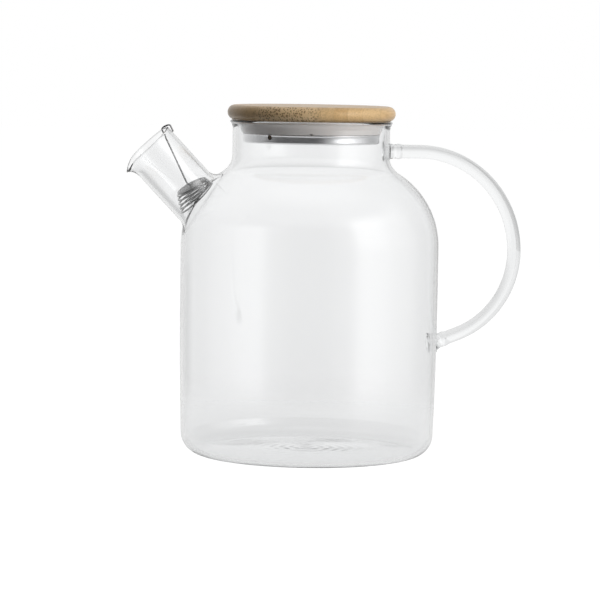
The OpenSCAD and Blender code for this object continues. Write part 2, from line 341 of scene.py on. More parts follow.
class Shader:
    """A short way to add nodes and links to a node tree."""

    def __init__(self, tree):
        self.tree = tree

    def add(self, kind, inputs=None, **settings):
        """Adds a node with these settings, and fills its inputs."""
        node = self.tree.nodes.new(kind)
        for name, value in settings.items():
            setattr(node, name, value)
        self.fill(node, inputs or {})
        return node

    def fill(self, node, inputs):
        """Gives a node's inputs their values or their links."""
        for name, value in inputs.items():
            if isinstance(value, bpy.types.NodeSocket):
                self.tree.links.new(value, node.inputs[name])
            else:
                node.inputs[name].default_value = value

    def math(self, operation, a, b=0.0):
        return self.add("ShaderNodeMath", {0: a, 1: b}, operation=operation).outputs[0]

    def times(self, a, b):
        return self.math("MULTIPLY", a, b)

    def plus(self, a, b):
        return self.math("ADD", a, b)

    def coordinates(self, kind):
        return self.add("ShaderNodeTexCoord").outputs[kind]

    def length(self, vector):
        node = self.add("ShaderNodeVectorMath", {0: vector}, operation="LENGTH")
        return node.outputs["Value"]

    def split(self, vector):
        return self.add("ShaderNodeSeparateXYZ", {"Vector": vector}).outputs

    def join(self, x=0.0, y=0.0, z=0.0):
        return self.add("ShaderNodeCombineXYZ", {"X": x, "Y": y, "Z": z}).outputs[0]

    def ramp(self, value, stops, easing="LINEAR"):
        """A ramp of greys through stops of place and level."""
        node = self.add("ShaderNodeValToRGB", {"Fac": value})
        node.color_ramp.interpolation = easing
        marks = node.color_ramp.elements
        while len(marks) < len(stops):
            marks.new(1.0)
        for mark, (place, level) in zip(marks, stops):
            mark.position, mark.color = place, grey(level)
        return node.outputs["Color"]

    def mix(self, factor, a, b, blend="MIX"):
        node = self.add("ShaderNodeMix", data_type="RGBA", blend_type=blend)
        self.fill(node, {0: factor, 6: a, 7: b})
        return node.outputs[2]

    def mix_shader(self, factor, a, b):
        return self.add("ShaderNodeMixShader", {0: factor, 1: a.outputs[0], 2: b.outputs[0]})

    def noise(self, vector, scale, detail=2.0, rough=0.5):
        inputs = {"Vector": vector, "Scale": scale, "Detail": detail, "Roughness": rough}
        return self.add("ShaderNodeTexNoise", inputs).outputs["Fac"]

    def bump(self, height, strength, distance):
        inputs = {"Height": height, "Strength": strength, "Distance": distance}
        return self.add("ShaderNodeBump", inputs).outputs["Normal"]


def new_material(name):
    """An empty material, with its shader tool, its Principled shader and its output."""
    material = bpy.data.materials.new(name)
    material.use_nodes = True
    material.node_tree.nodes.clear()
    s = Shader(material.node_tree)
    surface = s.add("ShaderNodeBsdfPrincipled")
    output = s.add("ShaderNodeOutputMaterial", {"Surface": surface.outputs[0]})
    return material, s, surface, output


def object_place(s, scale=(1.0, 1.0, 1.0), turn=0.0):
    """Object coordinates, turned about the vertical and scaled."""
    inputs = {"Vector": s.coordinates("Object"), "Scale": scale, "Rotation": (0.0, 0.0, turn)}
    return s.add("ShaderNodeMapping", inputs).outputs["Vector"]


# ---------------------------------------------------------------- materials

GLASS_IOR = 1.474
SILICONE_IOR = 1.41
# Direction of the bamboo's strips, seen from above
GRAIN_TURN = math.radians(119.0)
# Fibres run so much longer than they are wide
FIBRE_STRETCH = 0.05


def glass_material(finish_settings):
    """Clear blown glass, very slightly wavy, greyer and cooler where it is thick, with painted shade that
    greys it where it is seen edge-on.
    """
    material, s, surface, output = new_material("clear_glass")
    # Painted shade: the glass's colour darkens where its face is seen edge-on, to give grey edges
    edge = s.add("ShaderNodeLayerWeight", {"Blend": 0.5}).outputs["Facing"]
    painted_edge_shade = s.ramp(edge, [(0.55, 0.0), (0.98, 1.0)], "EASE")
    wavy = s.noise(object_place(s, (1.0, 1.0, 0.35)), 30.0, 0.0)
    s.fill(surface, {
        "Base Color": s.mix(painted_edge_shade, rgba(finish_settings.glass), rgba(finish_settings.glass, 0.965)),
        "Roughness": 0.0,
        "IOR": GLASS_IOR,
        "Transmission Weight": 1.0,
        "Normal": s.bump(wavy, 0.1, 0.0012),
    })
    depth = s.add("ShaderNodeVolumeAbsorption", {"Color": (0.885, 0.905, 0.912, 1.0), "Density": 40.0})
    clear = s.add("ShaderNodeBsdfTransparent", {"Color": (0.96, 0.965, 0.965, 1.0)})
    shadow = s.add("ShaderNodeLightPath").outputs["Is Shadow Ray"]
    both = s.mix_shader(shadow, surface, clear)
    s.fill(output, {"Volume": depth.outputs[0], "Surface": both.outputs[0]})
    return material


def bamboo_material(finish_settings):
    """Glued bamboo strips: dark cells in pale ground on the end grain, fine streaks on the long grain."""
    material, s, surface, _ = new_material("bamboo")
    parts = s.split(object_place(s, turn=GRAIN_TURN))
    inputs = {"Vector": s.coordinates("Normal"), "Rotation": (0.0, 0.0, GRAIN_TURN)}
    turned = s.add("ShaderNodeMapping", inputs).outputs["Vector"]
    # How far a face looks along the fibres, whatever its slope
    inputs = {0: turned, 1: (1.0, 1.0, 0.0)}
    level = s.add("ShaderNodeVectorMath", inputs, operation="MULTIPLY").outputs["Vector"]
    end_on = s.math("ABSOLUTE", s.split(level)["X"])
    end_on = s.math("DIVIDE", end_on, s.math("MAXIMUM", s.length(level), 0.4))
    end_on = s.ramp(end_on, [(0.88, 0.0), (0.97, 1.0)], "EASE")
    # Each strip has its own tone, and its fibres start at their own place
    across = s.math("DIVIDE", parts["Y"], finish_settings.strip_w)
    strip = {"W": s.math("FLOOR", across)}
    strip_tone = s.add("ShaderNodeTexWhiteNoise", strip, noise_dimensions="1D").outputs["Value"]
    shifted = s.plus(parts["X"], s.times(strip_tone, 0.7))
    fibres = s.join(s.times(shifted, FIBRE_STRETCH), parts["Y"], parts["Z"])
    cells = s.add("ShaderNodeTexVoronoi", {"Vector": fibres, "Scale": 950.0, "Randomness": 0.85})
    uneven = s.plus(0.5, s.times(s.noise(fibres, 420.0, 0.0), 0.5))
    dots = s.ramp(s.times(cells.outputs["Distance"], uneven), [(0.24, 1.0), (0.37, 0.0)], "EASE")
    dots = s.times(dots, s.plus(0.12, s.times(end_on, 0.6)))
    streaks = s.noise(fibres, 1500.0, 3.0, 0.6)
    broad = s.noise(fibres, 150.0, 2.0)
    ground = finish_settings.bamboo
    deep = [c * k for c, k in zip(ground, (0.8, 0.74, 0.66))]
    tone = s.mix(s.ramp(broad, [(0.3, 0.0), (0.7, 1.0)]), rgba(ground), rgba(deep))
    tone = s.mix(s.times(strip_tone, 0.3), tone, (0.80, 0.60, 0.34, 1.0))
    streak_mask = s.times(s.ramp(streaks, [(0.42, 0.0), (0.68, 1.0)]), 0.35)
    tone = s.mix(streak_mask, tone, (0.42, 0.25, 0.10, 1.0))
    tone = s.mix(s.times(end_on, 0.45), tone, (0.83, 0.64, 0.40, 1.0))
    beside_seam = s.math("ABSOLUTE", s.math("SUBTRACT", s.math("FRACT", across), 0.5))
    seam = s.times(s.ramp(beside_seam, [(0.485, 0.0), (0.5, 1.0)]), 0.3)
    tone = s.mix(seam, tone, (0.25, 0.14, 0.06, 1.0))
    s.fill(surface, {
        "Base Color": s.mix(dots, tone, rgba(finish_settings.fibre)),
        "Roughness": s.plus(0.36, s.times(streaks, 0.16)),
        "Coat Weight": 0.3,
        "Coat Roughness": 0.24,
        "Normal": s.bump(s.math("SUBTRACT", streaks, s.times(dots, 0.8)), 0.35, 0.00012),
    })
    return material


def silicone_material(finish_settings):
    """Milky translucent silicone with a faint bloom."""
    material, s, surface, _ = new_material("silicone")
    shade = finish_settings.silicone
    cloud = s.noise(object_place(s), 120.0, 2.0)
    s.fill(surface, {
        "Base Color": s.mix(cloud, rgba(shade, 0.94), rgba(shade, 1.05)),
        "Roughness": s.plus(0.3, s.times(cloud, 0.12)),
        "Subsurface Weight": 0.35,
        "Subsurface Radius": (0.003, 0.0026, 0.0024),
        "Subsurface Scale": 1.0,
        "IOR": SILICONE_IOR,
        "Coat Weight": 1.0,
        "Coat Roughness": 0.2,
        "Coat IOR": 1.85,
        "Normal": s.bump(s.noise(object_place(s), 2600.0, 1.0), 0.12, 0.00005),
    })
    return material


def steel_group():
    """Brushed steel: fine lines drawn round the vertical axis, as a shade, a roughness and a normal."""
    group = bpy.data.node_groups.new("brushed_lines", "ShaderNodeTree")
    for name, value in (("Lines", 9000.0), ("Depth", 0.3), ("Base Roughness", 0.2)):
        socket = group.interface.new_socket(name, in_out="INPUT", socket_type="NodeSocketFloat")
        socket.default_value = value
    for name, kind in (("Mask", "Float"), ("Roughness", "Float"), ("Normal", "Vector")):
        group.interface.new_socket(name, in_out="OUTPUT", socket_type="NodeSocket" + kind)
    s = Shader(group)
    given = s.add("NodeGroupInput").outputs
    x, y, z = s.split(s.coordinates("Object"))
    radius = s.math("SQRT", s.plus(s.times(x, x), s.times(y, y)))
    # Along a line the pattern hardly changes
    lines = s.join(s.times(s.math("ARCTAN2", y, x), 0.0004), radius, z)
    scratches = s.noise(lines, given["Lines"])
    s.add("NodeGroupOutput", {
        "Mask": scratches,
        "Roughness": s.plus(given["Base Roughness"], s.times(scratches, 0.1)),
        "Normal": s.bump(scratches, given["Depth"], 0.00003),
    })
    return group


def steel_material(name, shade, roughness, depth):
    """Steel with fine drawn lines."""
    group = bpy.data.node_groups.get("brushed_lines") or steel_group()
    material, s, surface, _ = new_material(name)
    brushed = s.add("ShaderNodeGroup", {"Depth": depth, "Base Roughness": roughness}, node_tree=group)
    s.fill(surface, {
        "Base Color": s.mix(brushed.outputs["Mask"], rgba(shade, 0.9), rgba(shade)),
        "Roughness": brushed.outputs["Roughness"],
        "Normal": brushed.outputs["Normal"],
        "Metallic": 1.0,
    })
    return material


# ---------------------------------------------------------------- the pot's glass


# Share of the vessel's wall by which spout and handle are sunk in it
SUNK_SHARE = 0.55
# Place and width of the gathered knot on the handle, and the finely stepped stretch, in foot lengths
KNOT_PLACE, KNOT_WIDTH, FOOT_STRETCH = 1.15, 0.28, 1.9
# How sharply the lip bends out of the tube
LIP_CURVE = 2.2
# Halvings in the search for the place where a line meets the vessel
HALVINGS = 40


def neck_curve(v):
    """Centre of the hollow curve under the neck, and the angle at which the shoulder meets it."""
    x = v.neck_r + v.neck_fillet_r
    aside = x - (v.body_r - v.shoulder_r)
    up = math.sqrt((v.shoulder_r + v.neck_fillet_r) ** 2 - aside**2)
    return x, v.shoulder_z + up, math.degrees(math.atan2(up, aside))


def side_radius(v, z):
    """Outer radius of the body's side at a height between foot and shoulder."""
    t = (z - v.foot_corner_r) / (v.shoulder_z - v.foot_corner_r)
    return v.body_r - v.foot_taper * (1 - t) ** 3


def wall_face(v, depth):
    """Outline of the wall from the floor's edge to the rim, at a depth inside its outer face."""
    foot_x = v.body_r - v.foot_taper - v.foot_corner_r
    fillet_x, fillet_z, meet = neck_curve(v)
    points = arc(foot_x, v.foot_corner_r, v.foot_corner_r - depth, -90, 0, 16)
    side = 16
    for i in range(1, side):
        z = v.foot_corner_r + (v.shoulder_z - v.foot_corner_r) * i / side
        points.append((side_radius(v, z) - depth, z))
    points += arc(v.body_r - v.shoulder_r, v.shoulder_z, v.shoulder_r - depth, 0, meet, 30)
    points += arc(fillet_x, fillet_z, v.neck_fillet_r + depth, 180 + meet, 180, 16)[1:]
    flare = 10
    rim_r = v.wall / 2
    for i in range(flare + 1):
        t = i / flare
        z = v.rim_z - v.rim_flare_h + t * (v.rim_flare_h - rim_r)
        points.append((v.neck_r + v.rim_flare * t * t - depth, z))
    return points


def floor_line(v, lift, rings):
    """Outline of the pushed-up base from the axis to its flat edge, raised by lift."""
    points = []
    steps = 90
    for i in range(steps):
        r = v.punt_r * i / steps
        z = lift + v.punt_h * (1 - (r / v.punt_r) ** 2) ** 2
        fade = max(0.0, 1 - r / v.ripple_r)
        z += rings * fade * math.cos(TAU * r / v.ripple_l)
        points.append((r, z))
    return points


def vessel_shell(v):
    """The blown vessel as a closed shell of glass."""
    outer = wall_face(v, 0.0)
    inner = wall_face(v, v.wall)
    rim_r = v.wall / 2
    rim = arc(v.neck_r + v.rim_flare - rim_r, v.rim_z - rim_r, rim_r, 0, 180, 10)[1:-1]
    outline = floor_line(v, 0.0, 0.0) + outer + rim + inner[::-1] + floor_line(v, v.wall, v.ripple_h)[::-1]
    return lathe("pot_glass", outline, v.columns)


def spout_place(p, s, ahead, aside):
    """The point at distance s along the spout, ahead (upwards) and aside (towards +Y) of its axis."""
    c, d = math.cos(p.rise), math.sin(p.rise)
    return Vector((-s * c + ahead * d, aside, p.cross_z + s * d + ahead * c))


def gap_to_vessel(v, point, depth):
    """Distance from a point near the shoulder or neck to a face of the vessel's wall, positive outside it."""
    r = math.hypot(point.x, point.y)
    if point.z < v.shoulder_z:
        return r - side_radius(v, point.z) + depth
    fillet_x, fillet_z, meet = neck_curve(v)
    aside, up = r - v.body_r + v.shoulder_r, point.z - v.shoulder_z
    if math.degrees(math.atan2(up, aside)) < meet:
        return math.hypot(aside, up) - v.shoulder_r + depth
    if point.z < fillet_z:
        return v.neck_fillet_r + depth - math.hypot(r - fillet_x, point.z - fillet_z)
    return r - v.neck_r + depth


def along_spout(v, p, r, turn, gap, depth):
    """Distance along the spout at which its wall, at radius r and this turn, clears the vessel by the gap."""
    low, high = 0.5 * p.reach, p.reach
    for _ in range(HALVINGS):
        mid = (low + high) / 2
        point = spout_place(p, mid, r * math.cos(turn), r * math.sin(turn))
        if gap_to_vessel(v, point, depth) < gap:
            low = mid
        else:
            high = mid
    return low


def lip_shift(p, s, turn):
    """How far the lip pulls a point of the spout's wall, outwards and back."""
    from_bottom = abs((turn % TAU) - math.pi)
    weight = math.exp(-((from_bottom / p.lip_width) ** 2))
    t = max(0.0, (s - p.reach + p.lip_l) / p.lip_l)
    return weight * p.lip_drop * t**LIP_CURVE, weight * p.lip_back * t**LIP_CURVE


def spout_ring(p, place):
    """A ring of the spout's wall. place gives a radius and a distance along the spout for each turn."""
    ring = []
    for turn in turns(p.columns):
        r, s = place(turn)
        out, back = lip_shift(p, s, turn)
        ring.append(spout_place(p, s - back, r * math.cos(turn) - out, r * math.sin(turn)))
    return ring


def weld_radius(p, turn):
    """Radius of the fused glass round the spout's root, which is largest on the neck's side."""
    return p.weld_r * (1 + p.weld_growth * max(0.0, math.cos(turn)) ** 2)


def spout_shell(v, p):
    """The spout as a closed tube, with a beaded mouth and a root that spreads on the shoulder."""
    inner_r = p.outer_r - p.wall
    tube_steps, lip_steps = 6, 12
    lip_run = p.lip_l - 2.4 * p.bead_r
    places = []

    def on_root(t, sunk=0.0, inside=False):
        """Adds a ring of the root's fillet, at angle t from the vessel's face, or sunk below the face."""

        def place(turn):
            # The bore opens in step with the outer fillet, so that the glass keeps its thickness
            w = weld_radius(p, turn) + (v.wall + p.wall) / 2 * inside
            r = (inner_r if inside else p.outer_r) + w * (1 - math.sin(t))
            return r, along_spout(v, p, r, turn, w * (1 - math.cos(t)) - sunk, v.wall * inside)

        places.append(place)

    def on_tube(r, s):
        """Adds a ring at one distance along the spout."""
        places.append(lambda turn: (r, s))

    def between(r, t):
        """Adds a ring at a share of the way from the root's fillet to the lip."""

        def place(turn):
            start = along_spout(v, p, p.outer_r, turn, weld_radius(p, turn), 0.0)
            return r, start + t * (p.reach - p.lip_l - start)

        places.append(place)

    # Up the outside: from inside the wall, out along the fillet, then the tube and the lip
    on_root(math.radians(3), SUNK_SHARE * v.wall)
    for a in range(8, 91, 9):
        on_root(math.radians(a))
    for i in range(1, tube_steps + 1):
        between(p.outer_r, i / tube_steps)
    for i in range(1, lip_steps):
        on_tube(p.outer_r, p.reach - p.lip_l + i / lip_steps * lip_run)
    middle_r = p.outer_r - p.wall / 2
    for a in range(-20, 201, 20):
        t = math.radians(a)
        on_tube(middle_r + p.bead_r * math.cos(t), p.reach - p.bead_r + p.bead_r * math.sin(t))
    # Down the bore to the root, which opens a little into the vessel
    for i in range(lip_steps - 1, 0, -1):
        on_tube(inner_r, p.reach - p.lip_l + i / lip_steps * lip_run)
    for i in range(tube_steps, 0, -1):
        between(inner_r, i / tube_steps)
    for a in range(90, 5, -12):
        on_root(math.radians(a), inside=True)
    on_root(math.radians(4), 0.02 * MM, inside=True)
    return loft("spout_shell", [spout_ring(p, place) for place in places], closed=True)


def spout_hole(v, p):
    """The hole in the vessel's wall under the spout, as a solid to cut with. The root covers its edge."""
    edge = [(p.outer_r + 0.75 * weld_radius(p, t), t) for t in turns(p.columns, 0.5)]
    rings = [
        [spout_place(p, s, r * math.cos(t), r * math.sin(t)) for r, t in edge]
        for s in (0.55 * p.reach, 0.9 * p.reach)
    ]
    return loft("spout_hole", rings)


def handle_line(v, h):
    """Points of the rod's middle from neck to body, and the distance of each from the glass it joins."""
    r = h.rod_d / 2
    upper = (h.reach - r - h.upper_r, h.mid_z)
    lower = (h.reach - r - h.lower_r, h.mid_z)
    fall = math.degrees(h.fall)
    top = h.mid_z + h.upper_r
    end = (lower[0] + h.lower_r * math.sin(h.fall), h.mid_z - h.lower_r * math.cos(h.fall))
    run = (end[0] - side_radius(v, h.mid_z - h.lower_r)) / math.cos(h.fall)
    foot_steps = 24
    near = [-SUNK_SHARE * v.wall, 0.0]
    near += [h.foot_l * FOOT_STRETCH * i / foot_steps for i in range(1, foot_steps + 1)]
    line = [((v.neck_r + d, top), d) for d in near]
    bends = arc(*upper, h.upper_r, 90, 0, 48) + arc(*lower, h.lower_r, 0, fall - 90, 40)[1:]
    line += [(q, h.foot_l * 3) for q in bends]
    for d in near[::-1]:
        back = run - d
        line.append(((end[0] - back * math.cos(h.fall), end[1] - back * math.sin(h.fall)), d))
    return line


def rod_radius(h, d):
    """Radius of the rod at a distance from the glass: the flared foot and the gathered knot beyond it."""
    r = h.rod_d / 2
    spread = max(0.0, 1 - max(d, 0.0) / h.foot_l)
    flare = 1 - math.sqrt(1 - spread**2)
    knot = math.exp(-(((d - KNOT_PLACE * h.foot_l) / (KNOT_WIDTH * h.foot_l)) ** 2))
    return r + (h.foot_d / 2 - r) * flare + h.knot * knot


def handle_rod(v, h):
    """The bent glass rod, with both ends sunk into the vessel's wall."""
    line = handle_line(v, h)
    rings = []
    for i, ((x, z), d) in enumerate(line):
        ax, az = line[max(i - 1, 0)][0]
        bx, bz = line[min(i + 1, len(line) - 1)][0]
        way = Vector((bx - ax, 0.0, bz - az)).normalized()
        out = Vector((-way.z, 0.0, way.x))
        r = rod_radius(h, d)
        centre = Vector((x, 0.0, z))
        wall_r = v.neck_r if z > h.mid_z else v.body_r
        near = min(1.0, max(0.0, 1 - d / h.foot_l))
        ring = []
        for t in turns(h.columns, 0.5):
            point = centre + out * r * math.cos(t) + Vector((0.0, r * math.sin(t), 0.0))
            # The foot wraps a little round the curved glass that it joins
            point.x -= near * (wall_r - math.sqrt(wall_r**2 - point.y**2))
            ring.append(point)
        rings.append(ring)
    return loft("handle_rod", rings)


class TEAPOT_OT_pot_glass(bpy.types.Operator):
    """Blows the vessel and fuses the spout and the handle to it"""

    bl_idname = "teapot.pot_glass"
    bl_label = "Pot glass"

    def execute(self, context):
        v, p, h = context.scene.teapot_vessel, context.scene.teapot_spout, context.scene.teapot_handle
        pot = vessel_shell(v)
        carve(pot, spout_hole(v, p), "DIFFERENCE")
        carve(pot, spout_shell(v, p), "UNION")
        carve(pot, handle_rod(v, h), "UNION")
        tidy(pot.data)
        crease(pot, 32.0)
        finish(pot, "pot", "glass", glass_material(context.scene.teapot_finish), "vessel", "spout", "handle")
        return {"FINISHED"}


# ---------------------------------------------------------------- the lid


LID_COLUMNS = 192
SCREW_COLUMNS = 32
SCREW_STEEL = (0.55, 0.56, 0.58)


def lid_heights(lid, v):
    """Heights of the seal's lower edge, the cup's lower edge, the cup's floor and the plug's end."""
    seal_bottom = v.rim_z - lid.seal_h
    cup_bottom = CUP_LOW.z
    cup_floor = cup_bottom + lid.cup_recess
    return seal_bottom, cup_bottom, cup_floor, cup_floor + lid.cup_sheet


def round_bar(name, start, end, r, columns=40):
    """A plain bar between two points, for cutting."""
    way = (end - start).normalized()
    side = way.orthogonal().normalized()
    up = way.cross(side)
    ends = (start, end)
    rings = [[c + side * r * math.cos(t) + up * r * math.sin(t) for t in turns(columns)] for c in ends]
    return loft(name, rings)


def vent_bar(lid, cup_bottom, cup_top, inner, outer):
    """The vent's hole as a bar to cut with."""
    way = Vector((math.cos(lid.vent_turn), math.sin(lid.vent_turn), 0.0))
    height = Vector((0.0, 0.0, cup_bottom + lid.cup_recess + (cup_top - cup_bottom - lid.cup_recess) / 2))
    return round_bar("vent", way * inner + height, way * outer + height, lid.vent_d / 2)


class TEAPOT_OT_lid_disc(bpy.types.Operator):
    """Turns the bamboo disc with the plug under it"""

    bl_idname = "teapot.lid_disc"
    bl_label = "Bamboo disc"

    def execute(self, context):
        v, lid = context.scene.teapot_vessel, context.scene.teapot_lid
        seal_bottom, cup_bottom, _, plug_bottom = lid_heights(lid, v)
        top, r, edge = DISC_HIGH.z, lid.disc_r, lid.disc_edge_r
        soft = 0.3 * MM
        outline = [(0, plug_bottom), (lid.plug_r * 0.5, plug_bottom)]
        outline += arc(lid.plug_r - soft, plug_bottom + soft, soft, -90, 0, 4)
        outline += [(lid.plug_r, v.rim_z)]
        outline += arc(r - edge, v.rim_z + edge, edge, -90, 0, 20)
        crown = arc(r - edge, top - edge, edge, 0, 90, 20)
        outline += [(x, z - lid.disc_crown * (x / r) ** 2) for x, z in crown]
        steps = 20
        for i in reversed(range(steps)):
            x = (r - edge) * i / steps
            outline.append((x, top - lid.disc_crown * (x / r) ** 2))
        disc = lathe("lid_bamboo", outline, LID_COLUMNS)
        vent = vent_bar(lid, cup_bottom, seal_bottom, lid.plug_r - lid.vent_depth, lid.plug_r + 1 * MM)
        carve(disc, vent, "DIFFERENCE")
        crease(disc, 40.0)
        finish(disc, "lid", "bamboo", bamboo_material(context.scene.teapot_finish), "lid_disc")
        return {"FINISHED"}


class TEAPOT_OT_lid_seal(bpy.types.Operator):
    """Moulds the tapered silicone seal"""

    bl_idname = "teapot.lid_seal"
    bl_label = "Seal"

    def execute(self, context):
        v, lid = context.scene.teapot_vessel, context.scene.teapot_lid
        low = lid_heights(lid, v)[0]
        top_r = lid.plug_r + lid.seal_w
        low_r = top_r - lid.seal_taper
        soft = 0.35 * MM
        outline = [(lid.plug_r, low), (low_r - soft, low)]
        outline += arc(low_r - soft, low + soft, soft, -90, -20, 6)[1:]
        outline += arc(top_r - 2 * soft, v.rim_z - 2 * soft, 2 * soft, -20, 90, 8)
        outline += [(lid.plug_r, v.rim_z)]
        seal = lathe("lid_seal_ring", outline, LID_COLUMNS)
        camera_side = -math.pi / 2 - context.scene.teapot_stage.camera_turn
        way = Vector((math.cos(camera_side), math.sin(camera_side), 0.0))
        foot = Vector((0.0, 0.0, low))
        start, end = way * (low_r - 1.2 * MM) + foot, way * (low_r + 2 * MM) + foot
        carve(seal, round_bar("notch", start, end, lid.notch_r), "DIFFERENCE")
        crease(seal, 40.0)
        finish(seal, "lid", "silicone", silicone_material(context.scene.teapot_finish), "lid_seal")
        return {"FINISHED"}


class TEAPOT_OT_lid_cup(bpy.types.Operator):
    """Draws the steel cup, with its recess, its rolled edge and its vent"""

    bl_idname = "teapot.lid_cup"
    bl_label = "Steel cup"

    def execute(self, context):
        v, lid = context.scene.teapot_vessel, context.scene.teapot_lid
        top, low, floor, inside = lid_heights(lid, v)
        t = lid.cup_sheet
        r = lid.plug_r + lid.cup_clearance + t
        ring = r - lid.cup_ring_w
        bend = 2 * t
        bead = lid.cup_bead
        outline = [(0, floor), (ring - 2 * t, floor)]
        outline += arc(ring - 2 * t, floor - t, t, 90, 0, 6)[1:]
        outline += arc(ring, low + t, t, 180, 270, 6)
        outline += arc(r - bend, low + bend, bend, -90, 0, 10)
        outline += [(r, top - 3 * bead)]
        outline += arc(r, top - bead, bead, -60, 150, 10)
        outline += arc(r - bend, low + bend, bend - t, 0, -90, 8)
        outline += [(ring + t, low + t)]
        outline += [(ring, low + 1.4 * t), (ring, inside - t / 2), (ring - t / 2, inside), (0, inside)]
        cup = lathe("lid_steel_cup", outline, LID_COLUMNS)
        carve(cup, vent_bar(lid, low, top, r - 2 * t, r + 1 * MM), "DIFFERENCE")
        crease(cup, 35.0)
        steel = steel_material("brushed_steel", context.scene.teapot_finish.steel, 0.16, 0.2)
        finish(cup, "lid", "cup_steel", steel, "lid_cup")
        return {"FINISHED"}


# ---------------------------------------------------------------- geometry nodes


def new_tree(name, numbers):
    """A Geometry Nodes tree that takes a mesh or curve and named numbers, and gives a mesh."""
    tree = bpy.data.node_groups.new(name, "GeometryNodeTree")
    tree.interface.new_socket("Geometry", in_out="INPUT", socket_type="NodeSocketGeometry")
    for label, kind, value in numbers:
        tree.interface.new_socket(label, in_out="INPUT", socket_type=kind).default_value = value
    tree.interface.new_socket("Material", in_out="INPUT", socket_type="NodeSocketMaterial")
    tree.interface.new_socket("Geometry", in_out="OUTPUT", socket_type="NodeSocketGeometry")
    return tree, Shader(tree)


def run_tree(piece, tree, values):
    """Runs a tree on a piece and keeps the result as a plain mesh."""
    step = piece.modifiers.new(tree.name, "NODES")
    step.node_group = tree
    for item in tree.interface.items_tree:
        if item.in_out == "INPUT" and item.name in values:
            step[item.identifier] = values[item.name]
    bpy.context.view_layer.update()
    settle(piece)


def end_tree(s, geometry, material):
    """Ends a tree with real geometry in its material."""
    real = s.add("GeometryNodeRealizeInstances", {"Geometry": geometry}).outputs["Geometry"]
    done = s.add("GeometryNodeSetMaterial", {"Geometry": real, "Material": material})
    s.add("NodeGroupOutput", {"Geometry": done.outputs["Geometry"]})


def screws_tree():
    """Sets a slotted screw on each of a number of places round a circle."""
    numbers = [
        ("Count", "NodeSocketInt", 3),
        ("Circle Radius", "NodeSocketFloat", 0.02),
        ("Height", "NodeSocketFloat", 0.167),
    ]
    tree, s = new_tree("screws_on_circle", numbers)
    given = s.add("NodeGroupInput").outputs
    inputs = {"Vertices": given["Count"], "Radius": given["Circle Radius"]}
    circle = s.add("GeometryNodeMeshCircle", inputs).outputs["Mesh"]
    inputs = {"Geometry": circle, "Translation": s.join(z=given["Height"])}
    raised = s.add("GeometryNodeTransform", inputs).outputs["Geometry"]
    # Each screw stops at its own turn
    spin = s.join(z=s.times(s.add("GeometryNodeInputIndex").outputs[0], 0.9))
    inputs = {"Points": raised, "Instance": given["Geometry"], "Rotation": spin}
    screws = s.add("GeometryNodeInstanceOnPoints", inputs).outputs["Instances"]
    end_tree(s, screws, given["Material"])
    return tree


class TEAPOT_OT_cup_screws(bpy.types.Operator):
    """Turns one screw and sets it round the cup's recess"""

    bl_idname = "teapot.cup_screws"
    bl_label = "Cup screws"

    def execute(self, context):
        v, lid = context.scene.teapot_vessel, context.scene.teapot_lid
        floor = lid_heights(lid, v)[2]
        head_r, h, shank = lid.screw_head_d / 2, lid.screw_head_h, lid.screw_d / 2
        soft = 0.5 * h
        outline = [(0, -h), (head_r * 0.4, -h)]
        edge = (-1.57, -1.1, -0.6, 0.0)
        outline += [(head_r - soft + soft * math.cos(t), -soft + soft * math.sin(t)) for t in edge]
        outline += [(head_r, 0.0), (shank, 0.0), (shank, lid.screw_l * 0.7), (0, lid.screw_l)]
        screw = lathe("cup_screw_set", outline, SCREW_COLUMNS)
        slot_half = head_r / 8
        for turn in (0.0, math.pi / 2):
            bm = bmesh.new()
            bmesh.ops.create_cube(bm, size=1.0)
            bm.transform(
                Matrix.Rotation(turn, 4, "Z")
                @ Matrix.Translation((0.0, 0.0, -h))
                @ Matrix.Diagonal((head_r * 1.3, slot_half * 2, h, 1.0))
            )
            mesh = bpy.data.meshes.new("slot")
            bm.to_mesh(mesh)
            bm.free()
            carve(screw, link(mesh, "slot"), "DIFFERENCE")
        crease(screw, 30.0)
        material = steel_material("screw_steel", SCREW_STEEL, 0.28, 0.2)
        values = {
            "Count": lid.screw_count,
            "Circle Radius": lid.screw_circle_r,
            "Height": floor,
            "Material": material,
        }
        run_tree(screw, screws_tree(), values)
        finish(screw, "lid", "screw_steel", material, "cup_screws")
        return {"FINISHED"}


def wire_tree():
    """Sweeps a round wire along a path."""
    numbers = [("Wire Radius", "NodeSocketFloat", 0.00045), ("Sides", "NodeSocketInt", 14)]
    tree, s = new_tree("wire_along_path", numbers)
    given = s.add("NodeGroupInput").outputs
    path = s.add("GeometryNodeMeshToCurve", {"Mesh": given["Geometry"]}).outputs["Curve"]
    inputs = {"Resolution": given["Sides"], "Radius": given["Wire Radius"]}
    section = s.add("GeometryNodeCurvePrimitiveCircle", inputs).outputs["Curve"]
    wire = s.add("GeometryNodeCurveToMesh", {"Curve": path, "Profile Curve": section, "Fill Caps": True})
    smooth = s.add("GeometryNodeSetShadeSmooth", {"Geometry": wire.outputs["Mesh"]}).outputs["Geometry"]
    end_tree(s, smooth, given["Material"])
    return tree


# Share of the stem that its bend at the spiral takes up
BEND_SHARE = 0.05


def bent(start, corner, end, t):
    """A point on the rounded bend from the spiral's end into the stem."""
    stop = corner.lerp(end, BEND_SHARE)
    return start.lerp(corner, t).lerp(corner.lerp(stop, t), t)


def turn_place(p, r, a, offset, s, lean, nod):
    """A point of a turn of wire that leans across the spout and nods to one side."""
    across, aside = r * math.cos(a), r * math.sin(a)
    along = s - across * math.sin(lean) + aside * math.tan(nod)
    return spout_place(p, along, offset + across * math.cos(lean), aside)


